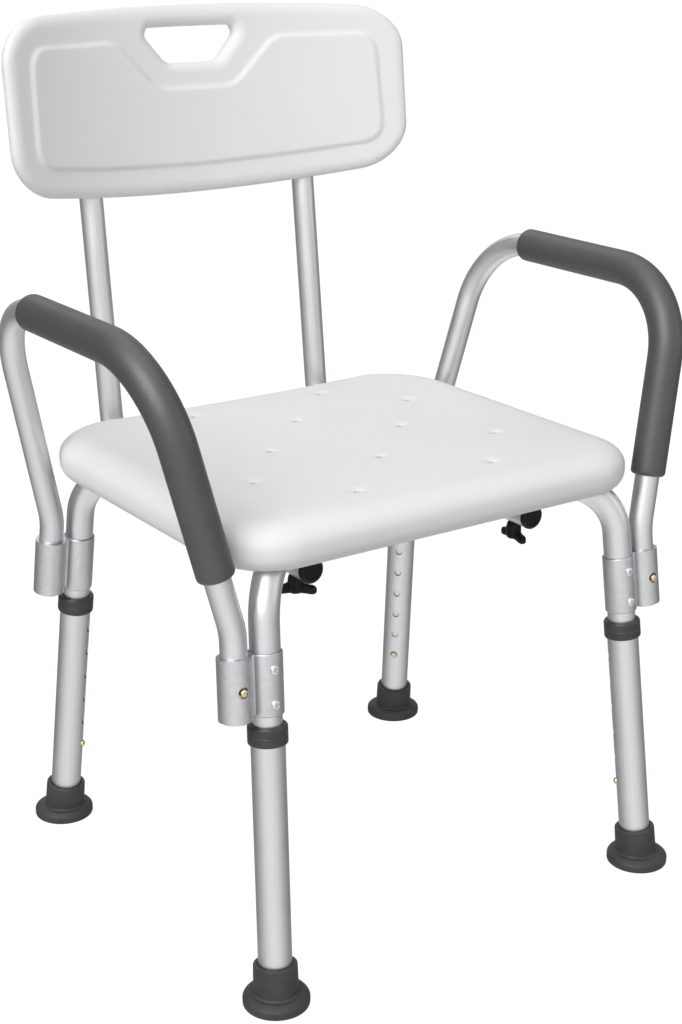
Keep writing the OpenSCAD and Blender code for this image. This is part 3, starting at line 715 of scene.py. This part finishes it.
def arm_corners(g, ends):
    """The corners of an arm's middle line between the two sleeves of side g, from front to back."""
    front, rear = ends
    low = {c: leg_point(c, arm_end, arm_out) for c in ends}
    neck = {c: leg_point(c, neck_z / leg_up[c][2], arm_out) for c in ends}
    top = [np.array([g * rail_x, stance_y + reach, rail_z]) for reach in (-rail_reach, rail_reach)]
    return [low[front], neck[front], *top, neck[rear], low[rear]]


for side, g in (("l", -1), ("r", 1)):
    ends = ("f" + side, "r" + side)
    line, heading = bent_line(arm_corners(g, ends), [elbow_r, corner_r, corner_r, elbow_r])
    lip = 0.0003
    line = np.concatenate([line[:1], line[:1] + lip * heading[:1], line[1:-1],
                           line[-1:] - lip * heading[-1:], line[-1:]])
    heading = np.concatenate([heading[:1], heading, heading[-1:]])
    r = np.full(len(line), light_r)
    r[[0, -1]] -= lip
    bore = np.full(len(line), light_r - tube_wall)
    bore[[0, -1]] += lip
    wall = np.concatenate([hoops(line, heading, (1, 0, 0), r), hoops(line, heading, (1, 0, 0), bore)[::-1]])
    tube = skin("arm_rail_" + side, [looped(wall)], aluminium)
    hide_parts("arm_tube_" + side)
    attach(tube, "frame")


# ---- Arm grips ----
# Closed-cell foam sleeves drawn over the rail and round its front bend, dark
# grey, with a skinned surface full of fine pores and softly cut ends.

foam, tree, shader = new_finish("grip_foam_skin", (0.044, 0.044, 0.046), 0.46)
place = object_place(tree)
cells = grain(tree, place, 1500, 3.0)
pores = tree.nodes.new("ShaderNodeTexVoronoi")
pores.inputs["Scale"].default_value = 900
tree.links.new(place, pores.inputs["Vector"])
patches = grain(tree, place, 34, 4.0)
vary(tree, patches, shader.inputs["Base Color"], (0.040, 0.040, 0.042), (0.048, 0.048, 0.050))
vary(tree, cells, shader.inputs["Roughness"], 0.39, 0.53)
emboss(tree, shader, [(pores.outputs["Distance"], 0.35, 0.00025), (cells, 0.35, 0.00018),
                      (patches, 0.2, 0.0006)])
shader.inputs["Specular IOR Level"].default_value = 0.9

grip_r, grip_bore = 0.01575, 0.0113
grip_rear = 0.071
grip_end = 0.369
curl = 0.0040
arc = np.linspace(0, np.pi / 2, 7)[:, None]
for side, g in (("l", -1), ("r", 1)):
    neck, top = arm_corners(g, ("f" + side, "r" + side))[1:3]
    start = neck + (grip_end - neck[2]) / (top[2] - neck[2]) * (top - neck)
    end = np.array([g * rail_x, stance_y + grip_rear, rail_z])
    line, heading = bent_line([start, top, end], [corner_r], 0.012)
    run = np.concatenate([[0], np.cumsum(np.linalg.norm(np.diff(line, axis=0), axis=1))])
    mid = (run > 1.5 * curl) & (run < run[-1] - 1.5 * curl)
    rise, shrink = curl * (1 - np.cos(arc)), curl * (1 - np.sin(arc))[:, 0]
    path = np.concatenate([line[0] + rise * heading[0], line[mid], line[-1] - rise[::-1] * heading[-1]])
    ends = [np.repeat(heading[[i]], len(arc), 0) for i in (0, -1)]
    go = np.concatenate([ends[0], heading[mid], ends[1]])
    r = np.concatenate([grip_r - shrink, np.full(mid.sum(), grip_r), grip_r - shrink[::-1]])
    outside = hoops(path, go, (1, 0, 0), r, 56)
    inside = hoops(line, heading, (1, 0, 0), grip_bore, 56)[::-1]
    grip = skin("foam_grip_" + side, [looped(np.concatenate([outside, inside]))], foam)
    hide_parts("arm_grip_" + side)
    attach(grip, "frame")


# ---- Back tubes and their end caps ----
# Two aluminium tubes that run back under the seat, turn up behind it and carry
# the back panel. Black moulded caps close their front ends.

back_low, back_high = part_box("back_tube_r")
back_x = (back_low[0] + back_high[0]) / 2
back_z = back_low[2] + light_r
back_front = back_low[1]
back_top = 0.712
heel = stance_y + 0.219
heel_r = 0.060
lean = math.radians(6.5)
for side, g in (("l", -1), ("r", 1)):
    x, leant = g * back_x, heel + (back_top - back_z) * math.tan(lean)
    line, heading = bent_line([(x, back_front, back_z), (x, heel, back_z), (x, leant, back_top)], [heel_r])
    tube = skin("back_upright_" + side, [capped(hoops(line, heading, (1, 0, 0), light_r))], aluminium)
    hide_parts("back_tube_" + side)
    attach(tube, "frame")

black, tree, shader = new_finish("black_moulding", (0.004, 0.004, 0.0043), 0.38)
place = object_place(tree)
fine = grain(tree, place, 1400, 2.0)
mottle = grain(tree, place, 160, 3.0)
vary(tree, mottle, shader.inputs["Base Color"], (0.003, 0.003, 0.0033), (0.006, 0.006, 0.0063))
vary(tree, fine, shader.inputs["Roughness"], 0.30, 0.46)
emboss(tree, shader, [(fine, 0.2, 0.00006), (mottle, 0.1, 0.0003)])
shader.inputs["Specular IOR Level"].default_value = 0.2
cap = soften([(0.0090, -0.0140), (0.0097, -0.0125), (0.0097, 0.0001), (0.0116, 0.0001), (0.0116, 0.0030),
              (0.0092, 0.0046), (0.0070, 0.0046), (0.0064, 0.0038), (0.0020, 0.0038)],
             [0, 0.0003, 0.0001, 0.0002, 0.0009, 0.0006, 0.0003, 0.0003, 0], 4)
caps = [turned(cap, (g * back_x, back_front, back_z), (0, -1, 0), (1, 0, 0), 48) for g in (-1, 1)]
plugs = skin("tube_end_caps", [capped(c) for c in caps], black)
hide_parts("back_tube_plugs")
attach(plugs, "frame")


# ---- Wing knobs ----
# Black moulded nuts with two thumb wings, turned up on the studs under the seat
# to clamp back tubes, crossed tubes and seat together.

knob_turn = {"fl": -35, "fr": 83, "rl": 20, "rr": -40}
wing_reach = 0.018
hub = soften([(0.0030, 0), (0.0058, 0), (0.0067, -0.0030), (0.0070, -0.0110), (0.0062, -0.0150),
              (0.0034, -0.0156)], [0, 0.0006, 0.001, 0.0015, 0.0014, 0], 4)[::-1]
quarter = np.linspace(0, 0.5, 10) * np.pi
wing_x = wing_reach * np.concatenate([-np.cos(quarter[:-1]), np.sin(quarter)])
# From the hub to a wing's tip t goes from 0 to 1: the upper edge slopes down over the first 0.7 of it,
# the lower edge falls a little, the wing thickens, and its end is rounded off.
t = np.abs(wing_x) / wing_reach
upper, lower = -0.0035 - 0.0055 * smooth(t / 0.70), -0.0158 - 0.0024 * t ** 2
round_end = np.maximum(np.sqrt(np.clip(1 - t ** 9, 0.0, 1)), 0.4)
tall, thick = (upper - lower) / 2 * round_end, (0.0034 + 0.0006 * t ** 3) * round_end
turn = np.linspace(0, 2 * np.pi, 32, endpoint=False)
boxy = 0.65
wing_y = thick[:, None] * np.sign(np.cos(turn)) * np.abs(np.cos(turn)) ** boxy
wing_z = tall[:, None] * np.sign(np.sin(turn)) * np.abs(np.sin(turn)) ** boxy + ((upper + lower) / 2)[:, None]
for c in corners:
    knob_low, knob_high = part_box("knob_" + c)
    middle = np.array([*((knob_low + knob_high) / 2)[:2], knob_high[2]])
    spin = math.radians(knob_turn[c])
    along = np.array([math.cos(spin), math.sin(spin), 0])
    across = np.array([-along[1], along[0], 0])
    wings = (middle + wing_x[:, None, None] * along + wing_y[..., None] * across
             + wing_z[..., None] * np.array([0, 0, 1.0]))
    knob = skin("wing_knob_" + c, [capped(turned(hub, middle, (0, 0, 1), along, 40)), capped(wings)], black)
    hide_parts("knob_" + c)
    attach(knob, "wing_" + c)


# ---- Seat ----
# One hollow blow-moulded shell of white polyethylene with soft fat edges, a
# waisted back edge, drain holes in shallow dimples and channels for the tubes.

white, tree, shader = new_finish("white_polyethylene", (0.88, 0.88, 0.88), 0.50)
place = object_place(tree)
swirl = grain(tree, place, 9, 3.0)
sag = grain(tree, place, 26, 2.0)
spark = grain(tree, place, 900, 3.0)
vary(tree, swirl, shader.inputs["Base Color"], (0.87, 0.87, 0.87), (0.89, 0.89, 0.888))
vary(tree, spark, shader.inputs["Roughness"], 0.43, 0.57)
emboss(tree, shader, [(sag, 0.12, 0.0012), (spark, 0.16, 0.00008)])
shader.inputs["Specular IOR Level"].default_value = 0.3


def edge_drop(gap, reach, depth, power=2.0):
    """How far a rounded edge lies below the face, from the distance to the outline: a quarter of a
    superellipse, reach wide and depth deep."""
    t = np.clip(1 - gap / reach, 0, 1)
    return depth * (1 - (1 - t ** power) ** (1 / power))


def inside_gap(p, q, half, corner):
    """Distance inwards from the outline of a rectangle with round corners, half as wide and high as given."""
    x, y = np.abs(p) - (half[0] - corner), np.abs(q) - (half[1] - corner)
    return corner - (np.hypot(np.maximum(x, 0), np.maximum(y, 0)) + np.minimum(np.maximum(x, y), 0))


def to_outline(loop, inner, half, radii):
    """Carries points on the rim of an inner rectangle (left, right, low, high) out to a rounded one: each
    coordinate is stretched to the outer rectangle, and in its corner squares the way along the two
    sides becomes the angle along the arc. The corner radii are (high side, low side)."""
    left, right, low, high = inner
    x = np.where(loop[:, 0] > 0, loop[:, 0] / right, -loop[:, 0] / left) * half[0]
    y = np.where(loop[:, 1] > 0, loop[:, 1] / high, -loop[:, 1] / low) * half[1]
    corner = np.where(y > 0, *radii)
    over_x, over_y = np.maximum(np.abs(x) - half[0] + corner, 0), np.maximum(np.abs(y) - half[1] + corner, 0)
    on_side = np.abs(np.abs(x) - half[0]) < 1e-9
    angle = np.where(on_side, over_y / corner * np.pi / 4, np.pi / 2 - over_x / corner * np.pi / 4)
    in_corner = (over_x > 0) & (over_y > 0)
    arc_x = np.sign(x) * (half[0] - corner + corner * np.cos(angle))
    arc_y = np.sign(y) * (half[1] - corner + corner * np.sin(angle))
    return np.stack([np.where(in_corner, arc_x, x), np.where(in_corner, arc_y, y)], 1)


def moulded(us, vs, half, corner, holes, lay, rows):
    """A closed plate. Its middle is a grid of lines us by vs, laid on the front and the back; rings
    carry the grid's rim out to the rounded outline and round its edge; and each hole's square of
    the grid gives way to rings that go down through it. lay(p, q, back) places the points of the
    front, or of the back, and holes are (centre, half width, half height, radius by angle)."""
    u, v = np.meshgrid(us, vs)
    mid_u, mid_v = (us[:-1] + us[1:]) / 2, (vs[:-1] + vs[1:]) / 2
    kept = np.ones((len(vs) - 1, len(us) - 1), bool)
    for (x, y), wide, high, _ in holes:
        kept &= ~((np.abs(mid_v - y) < high)[:, None] & (np.abs(mid_u - x) < wide)[None])
    grids = [(lay(u, v, False), False, False, False, kept),
             (lay(u, v, True)[::-1], False, False, False, kept[::-1])]
    inner = rim(us, vs)
    outer = to_outline(inner, (us[0], us[-1], vs[0], vs[-1]), half, corner)
    t = (1 - (1 - np.linspace(0, 1, rows)) ** 1.8)[:, None, None]
    ring = inner[None] + t * (outer - inner)[None]
    back, front = lay(ring[..., 0], ring[..., 1], True), lay(ring[..., 0], ring[..., 1], False)[::-1]
    grids.append(band(np.concatenate([back, front])))
    for (x, y), wide, high, radius in holes:
        square = rim(us[np.abs(us - x) < wide + 1e-6], vs[np.abs(vs - y) < high + 1e-6]) - (x, y)
        angle = np.arctan2(square[:, 1], square[:, 0])
        edge = radius(angle)[:, None] * np.stack([np.cos(angle), np.sin(angle)], 1)
        n = max(int(np.linalg.norm(square - edge, axis=1).max() / 0.0016), 5)
        t = (1 - (1 - np.linspace(0, 1, n)) ** 1.6)[:, None, None]
        ring = np.array([x, y]) + square[None] + t * (edge - square)[None]
        front, back = lay(ring[..., 0], ring[..., 1], False), lay(ring[..., 0], ring[..., 1], True)[::-1]
        grids.append(band(np.concatenate([front, back])))
    return grids


seat_low, seat_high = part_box("seat")
seat_half = ((seat_high[0] - seat_low[0]) / 2, 0.1865)
seat_y = seat_low[1] + seat_half[1]
seat_top, seat_bottom = seat_high[2], seat_low[2]
seat_corner = (0.076, 0.060)
drain_r = 0.0028
drain_half = (0.0102, 0.0088)
drains = np.array([(x, 0.067 * row) for row in range(-2, 3)
                   for x in ((-0.131, 0, 0.131) if row % 2 else (-0.072, 0.072))])
knee = leg_point("rr", cross_z / leg_up["rr"][2])
run = np.array([knee[0], knee[1] - stance_y]) / np.hypot(knee[0], knee[1] - stance_y)
knee_cut = 0.0416
bend_start = np.hypot(knee[0], knee[1] - stance_y) - knee_cut
channel_r, channel_half = knee_r + 0.0133, 0.024
well_r, well_deep = 0.052, 0.022
waist_deep = 0.011
dimple_r, dimple_deep = 0.0104, 0.0014
sink_r, sink_deep = 0.0040, 0.0003


def lay_seat(p, q, back):
    """Points of the seat's top or underside from sideways and front-to-back distances about its middle.
    A channel over a crossed tube has a cosine across it, and its crest falls along the tube's bend;
    a round well in the middle clears the bolt. On top, each drain hole has a dimple round it."""
    gap = np.maximum(inside_gap(p, q, seat_half, np.where(q > 0, *seat_corner)), 0)
    near = np.min(np.hypot(p[..., None] - drains[:, 0], q[..., None] - drains[:, 1]), axis=-1)
    waist = np.maximum(waist_deep - p * p / 2.2, 0) * smooth((q - 0.146) / 0.040)
    y = seat_y + q - waist
    if back:
        z = seat_bottom + edge_drop(gap, reach=0.020, depth=0.0175, power=2.2)
        from_mid = y - stance_y
        for s in (1, -1):
            aside = np.abs(p * run[1] - s * from_mid * run[0])
            beyond = np.maximum(np.abs(p * run[0] + s * from_mid * run[1]) - bend_start, 0)
            crest = cross_z - knee_r + np.sqrt(np.maximum(channel_r ** 2 - beyond ** 2, 0)) - seat_bottom
            share = 0.5 + 0.5 * np.cos(np.pi * np.clip(aside / channel_half, 0, 1))
            z = np.maximum(z, seat_bottom + crest * share ** 0.7)
        z = np.maximum(z, seat_bottom + well_deep * smooth((well_r - np.hypot(p, from_mid)) / 0.008))
    else:
        z = seat_top - edge_drop(gap, reach=0.030, depth=0.0195, power=2.3)
        z = z - dimple_deep * smooth((dimple_r - near) / 0.0085)
        z = z - sink_deep * smooth((sink_r - near) / 0.0012)
    return np.stack([p + 0 * z, y + 0 * z, z], -1)


us, vs = (lines(-reach, reach, set(np.round(drains[:, i], 6)), drain_half[i], 8, 0.0065)
          for i, reach in enumerate((0.158, 0.1435)))
holes = [(d, *drain_half, lambda a: np.full(len(a), drain_r)) for d in drains]
seat = skin("seat_shell", moulded(us, vs, seat_half, seat_corner, holes, lay_seat, 26), white, crease=60)
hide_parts("seat")
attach(seat, "frame")


# ---- Back panel ----
# A hollow white panel curved round the sitter's back, fat at the rim, with a
# raised field, a hand hole and two sockets behind it for the tubes.

panel_low, panel_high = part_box("back_panel")
panel_half = ((panel_high[0] - panel_low[0]) / 2, 0.088)
panel_corner = 0.045
panel_mid = np.array([0, stance_y + 0.249, 0.682])
bow = 0.480
thick = 0.020
raised = 0.0025
upper_bend, lower_bend = 4.0, 3.44
field = soften([(-0.1865, 0.053), (-0.087, 0.0555), (-0.0415, 0.0112), (0.0415, 0.0112), (0.087, 0.0555),
                (0.1865, 0.053), (0.1905, -0.052), (0.100, -0.0588), (0, -0.0615), (-0.100, -0.0588),
                (-0.1905, -0.052)],
               [0.020, 0.012, 0.012, 0.012, 0.012, 0.020, 0.022, 0.030, 0.030, 0.030, 0.022], 8, closed=True)
hand_hole = soften([(-0.047, 0.068), (-0.050, 0.060), (-0.028, 0.0345),
                    (0.028, 0.0345), (0.050, 0.060), (0.047, 0.068)],
                   [0.0035, 0.0035, 0.007, 0.007, 0.0035, 0.0035], 6, closed=True)
hole_mid = np.array([0.0, 0.0510])
hole_wide, hole_high = 0.0640, 0.0285


def gap_inside(loop, x, y):
    """Distance to a closed outline, positive inside it: the least distance to any of its sides, with the
    sign from how often a line to the right crosses them."""
    a, b = loop, np.roll(loop, -1, 0)
    px, py = x.reshape(-1, 1), y.reshape(-1, 1)
    dx, dy = b[:, 0] - a[:, 0], b[:, 1] - a[:, 1]
    t = np.clip(((px - a[:, 0]) * dx + (py - a[:, 1]) * dy) / (dx * dx + dy * dy), 0, 1)
    gap = np.hypot(px - a[:, 0] - t * dx, py - a[:, 1] - t * dy).min(1)
    over = (a[:, 1] > py) != (b[:, 1] > py)
    side = px < a[:, 0] + (py - a[:, 1]) * dx / np.where(dy == 0, 1e-12, dy)
    inside = (over & side).sum(1) % 2 == 1
    return np.where(inside, gap, -gap).reshape(x.shape)


def in_panel(x, y, z):
    """From the panel's own frame, upright in its lean, to the chair's."""
    rearwards, upwards = y * math.cos(lean) + z * math.sin(lean), -y * math.sin(lean) + z * math.cos(lean)
    return np.stack([x, rearwards, upwards], -1) + panel_mid


def lay_panel(p, q, back):
    """Points of the panel's front or back from the distances across and up about its middle: on an
    upright cylinder, less the drop of the rim and of the hand hole's lip, with the upper edge
    falling and the lower edge rising towards the sides by the distance squared."""
    gap = np.maximum(inside_gap(p, q, panel_half, panel_corner), 0)
    up = (q / panel_half[1] + 1) / 2
    z = q - up * p * p / upper_bend + (1 - up) * p * p / lower_bend
    from_hole = np.maximum(-gap_inside(hand_hole, p, q), 0)
    if back:
        lip = edge_drop(gap, reach=0.010, depth=0.0085) + edge_drop(from_hole, reach=0.006, depth=0.005)
        depth = thick - lip
    else:
        depth = raised * (1 - smooth((gap_inside(field, p, z) + 0.0016) / 0.0036))
        depth = depth + edge_drop(gap, reach=0.0125, depth=0.0080)
        depth = depth + edge_drop(from_hole, reach=0.0105, depth=0.0080)
    return in_panel(p, -bow + np.sqrt((bow + depth) ** 2 - p * p), z)


def hole_radius(angle):
    """How far the hand hole's outline lies from its middle in each direction: each of its sides is turned
    until the direction lies along X, and the side that crosses X there gives the distance."""
    a = hand_hole - hole_mid
    c, s = np.cos(angle)[:, None], np.sin(angle)[:, None]
    along, across = a[:, 0] * c + a[:, 1] * s, a[:, 1] * c - a[:, 0] * s
    next_along, next_across = np.roll(along, -1, 1), np.roll(across, -1, 1)
    crosses = (across <= 0) != (next_across <= 0)
    t = across / np.where(crosses, across - next_across, 1)
    return np.where(crosses, along + t * (next_along - along), 0).max(1)


us = lines(-0.150, 0.150, [hole_mid[0]], hole_wide, 60, 0.0021)
vs = lines(-0.050, 0.0798, [hole_mid[1]], hole_high, 27, 0.0021)
holes = [(hole_mid, hole_wide, hole_high, hole_radius)]
grids = moulded(us, vs, panel_half, (panel_corner, panel_corner), holes, lay_panel, 34)
tube_y = (heel + (panel_mid[2] - back_z) * math.tan(lean) - panel_mid[1]) * math.cos(lean)
up = in_panel(np.array(0.0), np.array(0.0), np.array(1.0)) - panel_mid
socket = soften([(0.0117, -0.0760), (0.0150, -0.0760), (0.0155, -0.0740), (0.0155, 0.0360),
                 (0.0110, 0.0420), (0.0030, 0.0420)], [0, 0.0006, 0.0008, 0.006, 0.003, 0], 5)
for g in (-1, 1):
    middle = in_panel(np.array(g * back_x), np.array(tube_y), np.array(0.0))
    grids.append(capped(turned(socket, middle, up, (1, 0, 0), 48)))
panel = skin("back_panel_shell", grids, white, crease=60)
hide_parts("back_panel")
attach(panel, "frame")

frame["nodes"]["back_panel_screws"].material_slots[0].material = zinc
